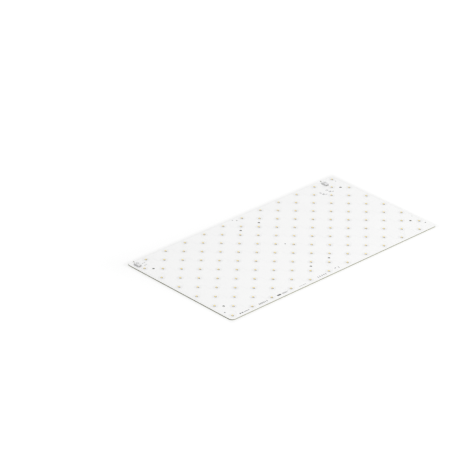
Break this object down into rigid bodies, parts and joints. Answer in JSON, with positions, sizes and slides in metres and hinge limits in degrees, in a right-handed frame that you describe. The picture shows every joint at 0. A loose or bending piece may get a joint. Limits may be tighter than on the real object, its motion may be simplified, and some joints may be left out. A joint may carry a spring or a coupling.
{
  "type": "led module",
  "caption": "Flat rectangular LED module: white circuit board with staggered rows of yellow-phosphor LEDs, round copper fields, screw holes and push-in wire terminals at one long edge.",
  "frame": {"origin": "centre of the board's underside", "axes": "+X along the long side, +Y towards the long edge with the wire notches, +Z out of the LED side"},
  "size_m": [0.54, 0.27, 0.0056],
  "materials": {
    "board_mask": "satin white solder mask on glass-epoxy laminate",
    "masked_copper": "copper under satin white solder mask",
    "solder_pad": "tinned",
    "led_lead": "silver plated",
    "led_chip": "polished",
    "led_body": "moulded",
    "phosphor": "clear silicone filled with yellow phosphor",
    "contact_metal": "tinned spring copper",
    "terminal_plastic": "moulded, fine spark texture",
    "print_ink": "printed"
  },
  "bodies": {
    "root": {"circuit_board": "board_mask", "supply_bus": "masked_copper", "return_bus": "masked_copper", "terminal_pads": "solder_pad", "copper_string_1": "masked_copper", "copper_string_2": "masked_copper", "copper_string_3": "masked_copper", "copper_string_4": "masked_copper", "copper_string_5": "masked_copper", "copper_string_6": "masked_copper", "led_leads_row_01": "led_lead", "led_leads_row_02": "led_lead", "led_leads_row_03": "led_lead", "led_leads_row_04": "led_lead", "led_leads_row_05": "led_lead", "led_leads_row_06": "led_lead", "led_leads_row_07": "led_lead", "led_leads_row_08": "led_lead", "led_leads_row_09": "led_lead", "led_leads_row_10": "led_lead", "led_leads_row_11": "led_lead", "led_leads_row_12": "led_lead", "led_chips_string_1": "led_chip", "led_chips_string_2": "led_chip", "led_chips_string_3": "led_chip", "led_chips_string_4": "led_chip", "led_chips_string_5": "led_chip", "led_chips_string_6": "led_chip", "led_bodies_row_01": "led_body", "led_bodies_row_02": "led_body", "led_bodies_row_03": "led_body", "led_bodies_row_04": "led_body", "led_bodies_row_05": "led_body", "led_bodies_row_06": "led_body", "led_bodies_row_07": "led_body", "led_bodies_row_08": "led_body", "led_bodies_row_09": "led_body", "led_bodies_row_10": "led_body", "led_bodies_row_11": "led_body", "led_bodies_row_12": "led_body", "led_phosphor_row_01": "phosphor", "led_phosphor_row_02": "phosphor", "led_phosphor_row_03": "phosphor", "led_phosphor_row_04": "phosphor", "led_phosphor_row_05": "phosphor", "led_phosphor_row_06": "phosphor", "led_phosphor_row_07": "phosphor", "led_phosphor_row_08": "phosphor", "led_phosphor_row_09": "phosphor", "led_phosphor_row_10": "phosphor", "led_phosphor_row_11": "phosphor", "led_phosphor_row_12": "phosphor", "left_terminal_contacts": "contact_metal", "right_terminal_contacts": "contact_metal", "left_terminal_housing": "terminal_plastic", "right_terminal_housing": "terminal_plastic"}
  },
  "joints": []
}
